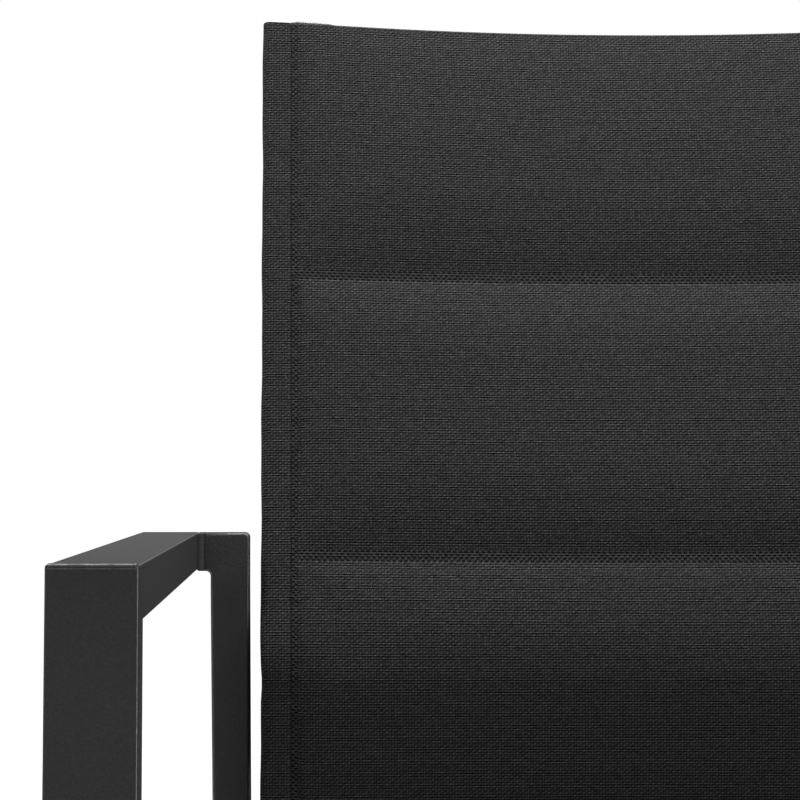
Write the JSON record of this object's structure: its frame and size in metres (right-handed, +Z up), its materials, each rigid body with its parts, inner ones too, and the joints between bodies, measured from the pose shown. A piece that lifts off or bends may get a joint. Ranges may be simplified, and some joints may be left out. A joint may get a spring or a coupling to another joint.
{
  "type": "sling patio chair",
  "caption": "Stacking armchair of flat metal tube with flat armrests, slanting legs and a padded textile sling, welded in cross channels, between two bent rails.",
  "frame": {"origin": "on the floor, under the middle of the chair's overall box", "axes": "+Z up; the sitter faces -Y; +X to the sitter's left"},
  "size_m": [0.5792, 0.6263, 0.946],
  "materials": {
    "frame": "fine-textured matte powder coat, anthracite",
    "sling_cloth": "coated open weave, charcoal",
    "padding": "quick-drying wadding",
    "plastic": "moulded, finely grained",
    "bolt_steel": "plain stainless"
  },
  "bodies": {
    "root": {"left_front_leg": "frame", "right_front_leg": "frame", "left_armrest": "frame", "right_armrest": "frame", "left_rear_leg": "frame", "right_rear_leg": "frame", "left_seat_side_tube": "frame", "right_seat_side_tube": "frame", "front_crossbar": "frame", "rear_crossbar": "frame", "back_top_bar": "frame", "left_sling_rail": "frame", "right_sling_rail": "frame", "left_armrest_cap": "plastic", "right_armrest_cap": "plastic", "left_front_glide": "plastic", "right_front_glide": "plastic", "left_rear_glide": "plastic", "right_rear_glide": "plastic", "left_rail_top_cap": "plastic", "right_rail_top_cap": "plastic", "left_rail_front_cap": "plastic", "right_rail_front_cap": "plastic", "left_top_bar_cap": "plastic", "right_top_bar_cap": "plastic", "left_front_saddle": "plastic", "right_front_saddle": "plastic", "left_rear_saddle": "plastic", "right_rear_saddle": "plastic", "left_top_bolt": "bolt_steel", "right_top_bolt": "bolt_steel", "left_rear_bolt": "bolt_steel", "right_rear_bolt": "bolt_steel", "left_front_bolt": "bolt_steel", "right_front_bolt": "bolt_steel", "left_top_washer": "bolt_steel", "right_top_washer": "bolt_steel", "left_rear_washer": "bolt_steel", "right_rear_washer": "bolt_steel", "left_front_washer": "bolt_steel", "right_front_washer": "bolt_steel", "left_top_insert": "bolt_steel", "right_top_insert": "bolt_steel", "left_rear_insert": "bolt_steel", "right_rear_insert": "bolt_steel", "left_front_insert": "bolt_steel", "right_front_insert": "bolt_steel", "left_rail_sleeve": "sling_cloth", "right_rail_sleeve": "sling_cloth", "sling_front_layer": "sling_cloth", "sling_back_layer": "sling_cloth", "channel_pad_1": "padding", "channel_pad_2": "padding", "channel_pad_3": "padding", "channel_pad_4": "padding", "channel_pad_5": "padding", "channel_pad_6": "padding", "channel_pad_7": "padding"}
  },
  "joints": []
}
